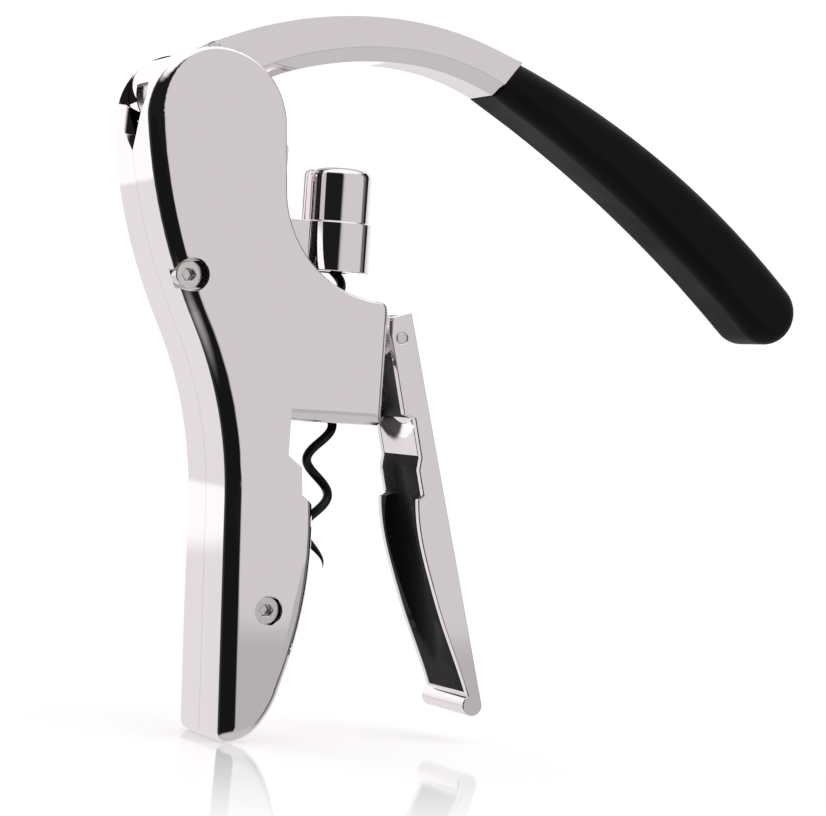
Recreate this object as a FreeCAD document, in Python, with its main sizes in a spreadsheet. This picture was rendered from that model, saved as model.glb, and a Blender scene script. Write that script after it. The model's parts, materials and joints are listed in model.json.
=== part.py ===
"""Lever corkscrew, parametric FreeCAD document, millimetres.

Frame: +Z up along the worm, origin on the worm's axis where the block's underside seats on
the bottle's mouth, +X towards the clamp lever, -Y the side that carries the screw heads.
The lever is down, the worm is fully down and the clamp lever is open.
"""
import FreeCAD, Part
import Sketcher
import math
import os

doc = FreeCAD.newDocument("lever_corkscrew")

SIZES = [
    ("body_thickness", 34.0, "both shells together, along Y"),
    ("shell_wall", 3.0, "wall of the shells"),
    ("handle_length", 84.0, "bottle seat down to the handle's foot"),
    ("handle_back", 29.0, "worm axis back to the handle's back"),
    ("head_height", 93.6, "bottle seat up to the top of the head"),
    ("head_back", 58.7, "worm axis back to the head's back"),
    ("head_radius", 17.5, "round of the head's back"),
    ("back_bow", 150.0, "gentle round of the back below the head"),
    ("back_hollow", 104.0, "gentle hollow of the back at the handle"),
    ("foot_radius", 2.6, "corner at the handle's foot"),
    ("block_hollow", 29.0, "hollow between head and block"),
    ("block_height", 32.5, "bottle seat up to the block's top"),
    ("block_front", 10.9, "worm axis to the block's front face"),
    ("back_fillet", 4.0, "edge rounding along the back"),
    ("rim_fillet", 0.9, "edge rounding along the slot side"),
    ("front_fillet", 3.0, "edge rounding of the block's front"),
    ("slot_width", 21.0, "slot between the shells for lever and carrier"),
    ("notch_apex", 66.4, "height of the notch's point in the back"),
    ("notch_height", 12.6, "height of the notch in the back"),
    ("running_gap", 0.3, "clearance between moving pieces"),
    ("axle_diameter", 6.0, "lever axle"),
    ("axle_height", 82.0, "bottle seat up to the lever axle"),
    ("axle_fit", 0.04, "radial running fit on axle and pins"),
    ("boss_diameter", 12.0, "axle bosses in the shells"),
    ("gear_module", 1.55, "module of gear sector and rack"),
    ("gear_teeth", 30.0, "teeth of the whole gear circle"),
    ("gear_width", 8.0, "width of gear sector and rack"),
    ("pressure_angle", 20.0, "flank angle of the teeth"),
    ("backlash", 0.30, "play between the tooth flanks"),
    ("tooth_clearance", 0.40, "play at the tooth tips"),
    ("lever_range", 98.0, "swing of the lever in degrees"),
    ("rack_line", 22.75, "worm axis back to the rack's pitch line"),
    ("rack_back", 2.0, "rack behind its tooth roots"),
    ("rack_above", 2.6, "rack above the lever axle at rest"),
    ("lever_rise", 25.5, "arm's crown above the lever axle"),
    ("arm_depth", 8.2, "height of the arm's side face"),
    ("arm_bevel", 3.4, "bevel below the arm's side face"),
    ("grip_width", 22.0, "grip across the lever"),
    ("grip_fillet", 5.0, "edge rounding of the grip"),
    ("tang_wall", 4.0, "grip wall around the tang"),
    ("cup_height", 39.7, "bottle seat up to the carrier cup"),
    ("cup_length", 13.0, "length of the carrier cup"),
    ("cup_diameter", 20.2, "carrier cup"),
    ("cap_length", 14.6, "length of the cap on the cup"),
    ("cap_diameter", 18.8, "cap on the cup"),
    ("cap_fillet", 2.6, "rounding of the cap's top"),
    ("bracket_width", 10.0, "bracket between rack and cup"),
    ("flange_top", 72.4, "bottle seat up to the bracket's top"),
    ("flange_depth", 2.6, "bracket's flange on the rack's back"),
    ("worm_pitch", 18.5, "pitch of the worm"),
    ("worm_diameter", 8.6, "worm, over the coil"),
    ("worm_wire", 2.45, "worm's wire"),
    ("worm_depth", 39.0, "bottle seat down to the worm's point"),
    ("collar_diameter", 13.0, "collar on the worm's head"),
    ("collar_length", 5.0, "length of the collar"),
    ("washer_length", 1.2, "thrust washers in the cup"),
    ("housing_diameter", 19.4, "nut housing in the block"),
    ("housing_base", 4.0, "bottle seat up to the nut housing"),
    ("housing_length", 25.0, "length of the nut housing"),
    ("nut_diameter", 15.0, "nut in its housing"),
    ("nut_length", 12.0, "length of the nut"),
    ("worm_play", 0.35, "play of the worm in the nut"),
    ("mouth_bore", 20.0, "bore of the block's underside"),
    ("seat_ring", 1.4, "wall of the ring round the mouth bore"),
    ("neck_diameter", 30.4, "channel for the bottle's neck"),
    ("pad_depth", 0.9, "how far the pad stands into the channel"),
    ("pad_top", 1.2, "bottle seat down to the neck pad"),
    ("pad_length", 70.0, "length of the neck pad"),
    ("pin_offset", 16.1, "worm axis out to the clamp pin"),
    ("pin_height", 23.5, "bottle seat up to the clamp pin"),
    ("pin_diameter", 3.0, "clamp pin"),
    ("clamp_width", 26.0, "clamp lever across its cheeks"),
    ("clamp_wall", 2.2, "cheeks and web of the clamp lever"),
    ("foot_wall", 2.0, "foot of the clamp lever below its pad"),
    ("liner_depth", 1.2, "moulded liner on the clamp lever's back"),
    ("clamp_length", 97.5, "clamp pin down to the clamp's foot"),
    ("clamp_reach", 30.0, "clamp pin out to the clamp's foot"),
    ("lug_width", 15.0, "hinge lug between the cheeks"),
    ("spring_wire", 0.8, "clamp spring's wire"),
    ("upper_screw_x", 44.8, "worm axis back to the upper screw"),
    ("upper_screw_z", 35.4, "bottle seat up to the upper screw"),
    ("lower_screw_x", 18.3, "worm axis back to the lower screw"),
    ("lower_screw_z", 49.2, "bottle seat down to the lower screw"),
    ("screw_head", 7.0, "head of the shell screws"),
    ("screw_shank", 4.0, "thread of the shell screws"),
    ("screw_socket", 3.0, "hexagon socket across flats"),
    ("screw_length", 16.0, "shell screws below the head"),
    ("head_length", 4.0, "height of the screw heads"),
    ("insert_diameter", 5.6, "threaded inserts in the far shell"),
    ("insert_length", 9.0, "length of the threaded inserts"),
    ("upper_seat", 9.6, "parting plane out to the upper screw's seat"),
    ("lower_seat", 11.4, "parting plane out to the lower screw's seat"),
    ("boss_step", 9.0, "parting plane out to the lower boss's wide end"),
    ("pad_backing", 4.2, "neck pad behind the channel"),
    ("hub_radius", 10.0, "hub of the lever"),
    ("rivet_diameter", 3.0, "rivets of the gear sector"),
    ("rivet_circle", 13.0, "axle out to the rivets"),
    ("root_round", 116.0, "round of the arm's top behind its crown"),
    ("fork_cover", 2.6, "arm left above the fork"),
    ("lug_wall", 1.1, "wall of the hinge lug round its pin"),
    ("crown_reach", 56.0, "axle out to the arm's crown"),
    ("grip_bow", 258.0, "gentle round of the grip"),
    ("grip_nose", 9.0, "round of the grip's end"),
    ("tang_depth", 6.0, "height of the tang"),
    ("rack_screw", 2.0, "screws between bracket and rack"),
    ("worm_phase", -7.5, "turn of the worm at the seat's height, degrees"),
    ("worm_point", 0.25, "radius of the worm's point"),
    ("cup_base", 2.2, "floor of the carrier cup"),
    ("cup_wall", 1.7, "wall of the carrier cup"),
    ("cap_hollow", 14.0, "hollow of the cap"),
    ("cap_wall", 3.2, "top of the cap"),
    ("nut_rise", 6.0, "housing's foot up to the nut"),
    ("ring_length", 1.2, "retaining ring under the nut"),
    ("housing_wall", 1.4, "housing's wall at its mouth"),
    ("clamp_swing", 16.0, "swing of the clamp lever in degrees"),
]

sheet = doc.addObject("Spreadsheet::Sheet", "sizes")
for row, (alias, value, note) in enumerate(SIZES, start=1):
    sheet.set("A%d" % row, alias)
    sheet.set("B%d" % row, str(value))
    sheet.set("C%d" % row, note)
    sheet.setAlias("B%d" % row, alias)
doc.recompute()

size = {alias: float(sheet.get(alias)) for alias, value, note in SIZES}

NODES = []


# ---------------------------------------------------------------- helpers

def vector(x, z, y=0.0):
    """A point of the side view, x along the body and z up."""
    return FreeCAD.Vector(x, y, z)


def label(item, name):
    """Gives a finished piece its name and lists it for export."""
    item.Label = name
    NODES.append(item)
    return item


def feature(name, shape, node=True):
    """A piece whose shape comes from Part's own functions."""
    item = doc.addObject("Part::Feature", name + "_piece")
    item.Shape = shape
    item.Placement = FreeCAD.Placement()
    return label(item, name) if node else item


def bind(item, **expressions):
    """Ties properties of an object to the sheet."""
    for prop, text in expressions.items():
        item.setExpression(prop.replace("__", "."), text)
    return item


def cylinder(name, radius, length, x, y, z):
    """A cylinder bound to the sheet, running along +Y."""
    item = doc.addObject("Part::Cylinder", name)
    turn = FreeCAD.Rotation(FreeCAD.Vector(1, 0, 0), -90)
    item.Placement = FreeCAD.Placement(FreeCAD.Vector(), turn)
    bind(item, Radius=radius, Height=length)
    bind(item, Placement__Base__x=x, Placement__Base__y=y, Placement__Base__z=z)
    return item


def cut(name, base, tool):
    """Base less tool."""
    item = doc.addObject("Part::Cut", name)
    item.Base = base
    item.Tool = tool
    return item


def fuse(name, pieces):
    """One solid from several."""
    item = doc.addObject("Part::MultiFuse", name)
    item.Shapes = pieces
    item.Refine = True
    return item


def group(name, pieces):
    """Several separate solids in one piece."""
    item = doc.addObject("Part::Compound", name)
    item.Links = pieces
    return item


def plane_of(body, role):
    """One of a body's own origin planes or axes."""
    return [item for item in body.Origin.OriginFeatures if item.Role == role][0]


def profile(body, name, plane, corners):
    """A closed polygon sketch whose corners are tied to the sheet."""
    sketch = body.newObject("Sketcher::SketchObject", name)
    sketch.AttachmentSupport = [(plane_of(body, plane), "")]
    sketch.MapMode = "FlatFace"
    spots = [FreeCAD.Vector(float(sheet.evalExpression(a)), float(sheet.evalExpression(b)), 0)
             for a, b in corners]
    count = len(spots)
    for index in range(count):
        sketch.addGeometry(Part.LineSegment(spots[index], spots[(index + 1) % count]))
    for index in range(count):
        sketch.addConstraint(Sketcher.Constraint("Coincident", index, 2, (index + 1) % count, 1))
    for index, (a, b) in enumerate(corners):
        across = sketch.addConstraint(
            Sketcher.Constraint("DistanceX", -1, 1, index, 1, spots[index].x))
        sketch.setExpression("Constraints[%d]" % across, a)
        up = sketch.addConstraint(
            Sketcher.Constraint("DistanceY", -1, 1, index, 1, spots[index].y))
        sketch.setExpression("Constraints[%d]" % up, b)
    return sketch


def turned(name, corners):
    """A body turned about the worm's axis from corners (radius, height)."""
    body = doc.addObject("PartDesign::Body", name + "_body")
    sketch = profile(body, name + "_profile", "XZ_Plane", corners)
    spin = body.newObject("PartDesign::Revolution", name + "_turn")
    spin.Profile = sketch
    spin.ReferenceAxis = (sketch, ["V_Axis"])
    spin.Angle = 360.0
    return body


def curve(points, start=None, end=None):
    """A smooth edge through points, with optional end directions."""
    line = Part.BSplineCurve()
    if start is None:
        line.interpolate(points)
    else:
        line.interpolate(Points=points, InitialTangent=start, FinalTangent=end)
    return line.toShape()


def polyline(points):
    """Straight edges through points."""
    return [Part.LineSegment(a, b).toShape() for a, b in zip(points, points[1:])]


def slab(face, low, high):
    """A side-view face thickened from y = low to y = high."""
    moved = face.copy()
    moved.translate(FreeCAD.Vector(0, low, 0))
    return moved.extrude(FreeCAD.Vector(0, high - low, 0))


def rod(radius, x, z, low, high):
    """A cylinder across the body."""
    return Part.makeCylinder(radius, high - low, vector(x, z, low), FreeCAD.Vector(0, 1, 0))


def upright(radius, low, high):
    """A cylinder about the worm's axis."""
    return Part.makeCylinder(radius, high - low, FreeCAD.Vector(0, 0, low))


def brick(x0, x1, y0, y1, z0, z1):
    """A box between two corners."""
    return Part.makeBox(x1 - x0, y1 - y0, z1 - z0, FreeCAD.Vector(x0, y0, z0))


# ---------------------------------------------------------------- places worked out once

half = size["body_thickness"] / 2
inner = half - size["shell_wall"]
slot = size["slot_width"] / 2
arm = slot - size["running_gap"] - 0.2
pitch_radius = size["gear_module"] * size["gear_teeth"] / 2
axle_x = -(size["rack_line"] + pitch_radius)
axle_z = size["axle_height"]
travel = pitch_radius * math.radians(size["lever_range"])
addendum = size["gear_module"] * 0.9
dedendum = addendum + size["tooth_clearance"]
rack_root = -size["rack_line"] + dedendum
rack_rear = rack_root + size["rack_back"]
rack_top = axle_z + size["rack_above"]
rack_foot = axle_z - travel - 8.0
axle_reach = half - 1.7
washer_outer = slot + 0.8
upper_bore = size["screw_head"] / 2 + 0.8
lower_bore = size["screw_head"] / 2 + 0.3
upper_seat = size["upper_seat"]
lower_seat = size["lower_seat"]
hub_radius = size["hub_radius"]
fork_radius = size["rivet_circle"] + 5.0
axle_hole = size["axle_diameter"] / 2 + size["axle_fit"]
tang_half = size["grip_width"] / 2 - size["tang_wall"]
cup_top = size["cup_height"] + size["cup_length"]
cap_top = cup_top + size["cap_length"]


# ---------------------------------------------------------------- shells

def trail(start, heading, steps):
    """Edges of a walk in the side view: each step is (radius, turn) or (length,).

    Headings and turns are degrees, counter-clockwise positive; returns edges, end and heading.
    """
    edges = []
    spot = start
    for step in steps:
        ahead = math.radians(heading)
        if len(step) == 1:
            end = spot + vector(math.cos(ahead) * step[0], math.sin(ahead) * step[0])
            edges.append(Part.LineSegment(spot, end).toShape())
            spot = end
            continue
        radius, turn = step
        side = math.radians(heading + math.copysign(90.0, turn))
        centre = spot + vector(math.cos(side) * radius, math.sin(side) * radius)
        marks = []
        for part_turn in (turn / 2, turn):
            angle = side + math.pi + math.radians(part_turn)
            marks.append(centre + vector(math.cos(angle) * radius, math.sin(angle) * radius))
        edges.append(Part.Arc(spot, marks[0], marks[1]).toShape())
        spot = marks[1]
        heading += turn
    return edges, spot, heading


def arc_to(start, heading, end):
    """The arc that leaves start along heading and ends at end, and its heading there."""
    chord = end - start
    lean = math.degrees(math.atan2(chord.z, chord.x)) - heading
    lean = (lean + 180.0) % 360.0 - 180.0
    radius = chord.Length / 2 / abs(math.sin(math.radians(lean)))
    edges, spot, heading = trail(start, heading, [(radius, 2 * lean)])
    return edges, heading


def two_arcs(start, heading, end, end_heading):
    """Two tangent arcs that join two points with given headings."""
    ahead, arrive = [vector(math.cos(math.radians(h)), math.sin(math.radians(h)))
                     for h in (heading, end_heading)]
    gap = end - start
    lean = 1.0 - ahead.dot(arrive)
    across = gap.dot(ahead + arrive)
    reach = (math.sqrt(across ** 2 + 2 * lean * gap.dot(gap)) - across) / (2 * lean)
    middle = (start + ahead * reach + end - arrive * reach) * 0.5
    first, heading = arc_to(start, heading, middle)
    second, heading = arc_to(middle, heading, end)
    return first + second


def back_edges():
    """Over the head from its crown, down the back and round the foot."""
    head = size["head_radius"]
    crown = vector(-size["head_back"] + head, size["head_height"])
    walk = [(head, 97.0), (size["back_bow"], 20.5), (size["back_hollow"], -25.3)]
    edges, spot, heading = trail(crown, 180.0, walk)
    rise = spot.z + size["handle_length"] - size["foot_radius"] * 1.15
    down, spot, heading = trail(spot, heading, [(rise / -math.sin(math.radians(heading)),)])
    turn, spot, heading = trail(spot, heading, [(size["foot_radius"], 94.0)])
    return edges + down + turn, spot, heading


def front_edges():
    """The slot side of the outline, from the crown down to the block's front corner."""
    head = size["head_radius"] + 1.9
    crown = vector(-size["head_back"] + size["head_radius"], size["head_height"])
    front = size["block_front"]
    high = size["block_height"]
    nose, first, heading = trail(crown, 0.0, [(head, -81.5)])
    slope = math.radians(-5.0)
    turn = size["front_fillet"]
    flat = 2.5
    corner = vector(front - turn * (1 + math.sin(slope)) - flat, high)
    sweep = 76.5
    hollow = size["block_hollow"]
    start = corner - vector(
        hollow * (math.sin(math.radians(heading + sweep)) - math.sin(math.radians(heading))),
        hollow * (math.cos(math.radians(heading)) - math.cos(math.radians(heading + sweep))))
    edges = nose + polyline([first, start])
    bend, spot, heading = trail(start, heading, [(hollow, sweep), (flat,), (turn, -85.0)])
    return edges + bend, spot


def grip_edges():
    """The front of the handle, with the two steps that clear the bottle's lip."""
    long = size["handle_length"]
    lip = -size["neck_diameter"] / 2
    steps = [
        vector(lip - 0.4, 0),
        vector(lip - 0.4, -9.0),
        vector(lip + 3.6, -12.0),
        vector(lip + 4.1, -19.0),
        vector(lip + 7.6, -21.4),
        vector(lip + 8.8, -32.0),
    ]
    bow, spot, heading = trail(steps[-1], -90.0, [(111.0, -17.0), (long * 0.07,)])
    return polyline(steps) + bow, spot, heading


def outline():
    """Closed side view of the two shells."""
    corner = 1.4
    lip = -size["neck_diameter"] / 2 - 0.4
    back, foot, foot_heading = back_edges()
    front, nose = front_edges()
    grip, bow_end, bow_heading = grip_edges()
    sole = two_arcs(bow_end, bow_heading, foot, foot_heading + 180.0)
    chin = Part.Arc(vector(nose.x, corner),
                    vector(nose.x - corner * 0.29, corner * 0.29),
                    vector(nose.x - corner, 0)).toShape()
    edges = back + front + [chin] + sole + grip
    edges += polyline([nose, vector(nose.x, corner)])
    edges += polyline([vector(nose.x - corner, 0), vector(lip, 0)])
    return Part.Face(Part.Wire(Part.__sortEdges__(edges)))


def face_edges(solid, level):
    """Numbers and edges of a solid that lie wholly in the plane y = level."""
    found = []
    for number, edge in enumerate(solid.Edges, start=1):
        bounds = edge.BoundBox
        if abs(bounds.YMin - level) < 0.01 and abs(bounds.YMax - level) < 0.01:
            found.append((number, edge))
    return found


def rounded_blank(face, sign):
    """Half of the body, its outer face's edges rounded; sign is -1 near, +1 far."""
    low, high = sorted((0.0, sign * half))
    block = feature("shell_block", slab(face, low, high), node=False)
    rounded = doc.addObject("Part::Fillet", "shell_rounded")
    rounded.Base = block
    crown = -size["head_back"] + size["head_radius"]
    top = size["block_height"] - 0.5
    broad = size["back_fillet"]
    fine = size["rim_fillet"]
    side = size["front_fillet"] * 1.1
    plan = []
    for number, edge in face_edges(block.Shape, sign * half):
        span = edge.BoundBox
        first = edge.valueAt(edge.FirstParameter)
        if span.ZMax > size["head_height"] - 0.1 and span.XMax < crown + 0.1:
            ends = (fine, broad) if abs(first.x - crown) < 0.1 else (broad, fine)
        elif span.XMax < -size["handle_back"] + 0.6:
            ends = (broad, broad)
        elif span.ZMin > top and span.XMin > crown - 0.5:
            ends = (fine, fine)
        elif span.XMin > size["block_front"] - 0.1:
            ends = (side, side)
        elif span.XMax > size["block_front"] - 0.1 and span.ZMin > top / 2:
            ends = (side, fine) if first.x > size["block_front"] - 0.1 else (fine, side)
        else:
            continue
        plan.append((number,) + ends)
    rounded.Edges = plan
    doc.recompute()
    return rounded.Shape


def slot_cutter():
    """The space between the shells for lever, rack and carrier, with the notch behind."""
    apex = size["notch_apex"]
    top = apex + size["notch_height"]
    front = size["block_front"] - size["shell_wall"]
    side = Part.Face(Part.makePolygon([
        vector(-80, top), vector(-80, 140), vector(front, 140),
        vector(front, size["block_height"] - size["shell_wall"] - 3.0),
        vector(-30, size["block_height"] - size["shell_wall"] - 3.0),
        vector(-30, top), vector(-80, top)]))
    opening = slab(side, -slot, slot)
    flank = [FreeCAD.Vector(-80, slot, top), FreeCAD.Vector(-80, slot * 0.42, apex + 4.6),
             FreeCAD.Vector(-80, 0, apex)]
    mirror = [FreeCAD.Vector(p.x, -p.y, p.z) for p in flank]
    notch = Part.Face(Part.Wire([
        Part.Arc(*flank).toShape(),
        Part.Arc(*mirror[::-1]).toShape(),
        Part.LineSegment(mirror[0], flank[0]).toShape()]))
    return opening.fuse(notch.extrude(FreeCAD.Vector(40, 0, 0)))


def half_rod(sign, radius, x, z, near, deep):
    """A cylinder across one half of the body, between two distances from the parting plane."""
    low, high = sorted((sign * near, sign * deep))
    return rod(radius, x, z, low, high)


def shell(name, sign, face):
    """One die-cast shell with its cavity, bosses and openings; sign is -1 near, +1 far."""
    body = rounded_blank(face, sign)
    low, high = (-inner, 0.0) if sign < 0 else (0.0, inner)
    cavity = slab(face.makeOffset2D(-size["shell_wall"]), low, high)
    body = body.cut(cavity).cut(slot_cutter())
    body = body.cut(pad_pocket(0.1))

    inside = slab(face.makeOffset2D(-0.6), -inner - 0.6, inner + 0.6)
    floor = inner + 0.5
    upper = (-size["upper_screw_x"], size["upper_screw_z"])
    lower = (-size["lower_screw_x"], -size["lower_screw_z"])
    bosses = [
        half_rod(sign, size["boss_diameter"] / 2, axle_x, axle_z, washer_outer, floor),
        half_rod(sign, upper_bore + 1.2, *upper, 0.0, floor),
        half_rod(sign, lower_bore + 1.2, *lower, size["boss_step"], floor),
        half_rod(sign, size["insert_diameter"] / 2 + 0.6, *lower, 0.0, floor),
    ]
    for boss in bosses:
        body = body.fuse(boss.common(inside))

    axle_bore = size["axle_diameter"] / 2 + size["axle_fit"] / 2
    body = body.cut(rod(axle_bore, axle_x, axle_z, -axle_reach, axle_reach))
    body = body.cut(upright(size["mouth_bore"] / 2, -1.0, size["block_height"] + 5.0))
    body = body.cut(upright(size["neck_diameter"] / 2, -size["handle_length"] - 5.0, -0.5))
    for (x, z), bore, seat in ((upper, upper_bore, upper_seat), (lower, lower_bore, lower_seat)):
        if sign < 0:
            body = body.cut(rod(bore, x, z, -half - 1.0, -seat))
            body = body.cut(rod(size["screw_shank"] / 2 + 0.2, x, z, -half, 0.5))
        else:
            body = body.cut(rod(size["insert_diameter"] / 2, x, z, -0.5, size["insert_length"]))
    return feature(name, body.removeSplitter())


def pad_pocket(play):
    """The room for the neck pad between the shells; play widens it."""
    width = inner - 0.4 + play
    deep = -size["neck_diameter"] / 2 - size["pad_backing"] - play
    low = -size["pad_top"] - size["pad_length"] - play
    return brick(deep, 0.0, -width, width, low, -size["pad_top"] + play)


def make_shells():
    """The two shells and the pad that lies between them."""
    face = outline()
    shell("near_shell", -1, face)
    shell("far_shell", 1, face)
    pad = slab(face.makeOffset2D(-1.0), -inner, inner).common(pad_pocket(0.0))
    pad = pad.cut(upright(size["neck_diameter"] / 2 - size["pad_depth"],
                          -size["handle_length"], 0.0))
    lower = (-size["lower_screw_x"], -size["lower_screw_z"])
    pad = pad.cut(rod(size["insert_diameter"] / 2 + 0.7, *lower, -half, half))
    for side in (-1, 1):
        pad = pad.cut(half_rod(side, lower_bore + 1.4, *lower, size["boss_step"] - 0.1, half))
    feature("neck_pad", pad)


make_shells()


# ---------------------------------------------------------------- fasteners and axle

def shell_screw(name, x, z, seat):
    """A socket-head screw through both shells, and its place."""
    head = cylinder(name + "_head", "sizes.screw_head / 2", "sizes.head_length",
                    x, "-%s - sizes.head_length" % seat, z)
    shank = cylinder(name + "_shank", "sizes.screw_shank / 2", "sizes.screw_length",
                     x, "-" + seat, z)
    socket = doc.addObject("Part::Prism", name + "_socket")
    socket.Polygon = 6
    socket.Placement = FreeCAD.Placement(FreeCAD.Vector(),
                                         FreeCAD.Rotation(FreeCAD.Vector(1, 0, 0), -90))
    bind(socket, Circumradius="sizes.screw_socket / 2 / cos(30)", Height="sizes.head_length / 2",
         Placement__Base__x=x, Placement__Base__z=z,
         Placement__Base__y="-%s - sizes.head_length" % seat)
    return label(cut(name + "_piece", fuse(name + "_blank", [head, shank]), socket), name)


def insert(name, x, z):
    """A threaded insert in the far shell."""
    sleeve = cylinder(name + "_sleeve", "sizes.insert_diameter / 2", "sizes.insert_length",
                      x, "0", z)
    hole = cylinder(name + "_hole", "sizes.screw_shank / 2", "sizes.insert_length * 2",
                    x, "-1", z)
    return cut(name, sleeve, hole)


shell_screw("upper_screw", "-sizes.upper_screw_x", "sizes.upper_screw_z", "sizes.upper_seat")
shell_screw("lower_screw", "-sizes.lower_screw_x", "-sizes.lower_screw_z", "sizes.lower_seat")
label(group("inserts", [
    insert("upper_insert", "-sizes.upper_screw_x", "sizes.upper_screw_z"),
    insert("lower_insert", "-sizes.lower_screw_x", "-sizes.lower_screw_z")]), "threaded_inserts")

AXLE_X = "-(sizes.rack_line + sizes.gear_module * sizes.gear_teeth / 2)"
AXLE_Z = "sizes.axle_height"
label(cylinder("axle", "sizes.axle_diameter / 2", "sizes.body_thickness - 3.4",
               AXLE_X, "-(sizes.body_thickness - 3.4) / 2", AXLE_Z), "lever_axle")


def axle_washers():
    """A washer each side of the lever's hub."""
    pieces = []
    for side in (-1, 1):
        disc = half_rod(side, size["axle_diameter"] / 2 + 2.6, axle_x, axle_z,
                        arm + 0.08, washer_outer - 0.02)
        bore = rod(size["axle_diameter"] / 2 + 0.02, axle_x, axle_z, -half, half)
        pieces.append(disc.cut(bore))
    feature("axle_washers", Part.makeCompound(pieces))


axle_washers()


# ---------------------------------------------------------------- lever

def polar(radius, degrees):
    """A point of the side view about the lever axle."""
    angle = math.radians(degrees)
    return vector(axle_x + radius * math.cos(angle), axle_z + radius * math.sin(angle))


def involute(radius, base):
    """Involute function at a radius, in degrees."""
    tangent = math.sqrt(max((radius / base) ** 2 - 1.0, 0.0))
    return math.degrees(tangent - math.atan(tangent))


def gear_tooth(centre):
    """Side view of one gear tooth about its centre angle."""
    base = pitch_radius * math.cos(math.radians(size["pressure_angle"]))
    tip = pitch_radius + addendum
    root = pitch_radius - dedendum
    thick = (math.pi * size["gear_module"] - size["backlash"]) / 2
    at_base = math.degrees(thick / 2 / pitch_radius) + involute(pitch_radius, base)
    steps = [base + (tip - base) * index / 4 for index in range(5)]
    left = [polar(r, centre + at_base - involute(r, base)) for r in steps]
    right = [polar(r, centre - at_base + involute(r, base)) for r in steps]
    low = [polar(root - 0.6, centre + at_base), polar(root - 0.6, centre - at_base)]
    edges = [curve(left), curve(right)]
    edges += polyline([left[-1], right[-1]])
    edges += polyline([left[0], low[0], low[1], right[0]])
    return Part.Face(Part.Wire(Part.__sortEdges__(edges)))


def wedge(radius, start, end):
    """A filled sector about the lever axle, in the side view."""
    middle = (start + end) / 2
    rim = Part.Arc(polar(radius, start), polar(radius, middle), polar(radius, end)).toShape()
    sides = polyline([polar(radius, end), polar(0.0, 0.0), polar(radius, start)])
    return Part.Face(Part.Wire([rim] + sides))


def gear_sector():
    """Toothed sector riveted into the lever's fork."""
    step = 360.0 / size["gear_teeth"]
    count = int(size["lever_range"] / step)
    wide = size["gear_width"] / 2
    root = pitch_radius - dedendum
    body = slab(wedge(root, -(count + 0.4) * step, 1.5 * step), -wide, wide)
    web = slab(wedge(fork_radius - 1.0, 1.4 * step, 80.0), -wide, wide)
    body = body.fuse(web.common(under_cover()))
    body = body.fuse(rod(hub_radius - 1.0, axle_x, axle_z, -wide, wide))
    teeth = [slab(gear_tooth(-index * step), -wide, wide) for index in range(-1, count + 1)]
    body = body.fuse(teeth)
    body = body.cut(rod(axle_hole, axle_x, axle_z, -half, half))
    for x, z in rivet_places():
        body = body.cut(rod(size["rivet_diameter"] / 2, x, z, -half, half))
    body = body.removeSplitter()
    feature("gear_sector", body)
    return body


def under_cover():
    """Everything below the part of the arm that stays whole over the fork."""
    round_top = size["root_round"]
    crown = crown_point()
    return rod(round_top - size["fork_cover"], crown.x, crown.z - round_top, -half, half)


def rivet_places():
    """Centres of the two rivets that hold the sector."""
    spots = [polar(size["rivet_circle"], 34.0), polar(size["rivet_circle"], 66.0)]
    return [(spot.x, spot.z) for spot in spots]


def crown_point():
    """Highest point of the arm's top."""
    return vector(axle_x + size["crown_reach"], axle_z + size["lever_rise"])


def arm_profile():
    """Side view of the arm from its hub to the grip's start."""
    crown = crown_point()
    root, spot, heading = trail(crown, 180.0, [(size["root_round"], 28.4)])
    out, end, heading = trail(crown, 0.0, [(94.0, -17.6), (size["grip_bow"], -2.2)])
    low = vector(end.x - 3.4, end.z - size["arm_depth"] - 2.4)
    belly = crown - vector(-4.0, size["arm_depth"] + size["arm_bevel"] - 0.3)
    under_out, meet, heading = trail(belly, 0.0, [(66.0, -24.0)])
    under_in, inner_end, heading = trail(belly, 180.0, [(95.0, 21.0)])
    tail = polar(hub_radius * 0.6, -10.0)
    edges = root + out + under_out + under_in
    edges += polyline([end, meet])
    edges += polyline([spot, polar(0.0, 0.0), tail, inner_end])
    return Part.Face(Part.Wire(Part.__sortEdges__(edges)))


def tang_profile():
    """Side view of the tang inside the grip."""
    wall = size["tang_wall"]
    crown = crown_point()
    edges = []
    ends = []
    for inset in (wall, wall + size["tang_depth"]):
        arcs, spot, heading = trail(crown - vector(0, inset), 0.0,
                                    [(94.0 - inset, -17.6), (size["grip_bow"] - inset, -19.0)])
        edges += arcs[1:]
        ends.append((arcs[1].valueAt(arcs[1].FirstParameter), spot))
    starts = [min(pair, key=lambda point: point.x) for pair in
              [(edge.valueAt(edge.FirstParameter), edge.valueAt(edge.LastParameter))
               for edge in edges]]
    stops = [max(pair, key=lambda point: point.x) for pair in
             [(edge.valueAt(edge.FirstParameter), edge.valueAt(edge.LastParameter))
              for edge in edges]]
    edges += polyline(starts) + polyline(stops)
    return Part.Face(Part.Wire(Part.__sortEdges__(edges)))


def long_edges(solid, level):
    """Edges of a solid that lie in the plane y = level."""
    return [edge for number, edge in face_edges(solid, level)]


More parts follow.
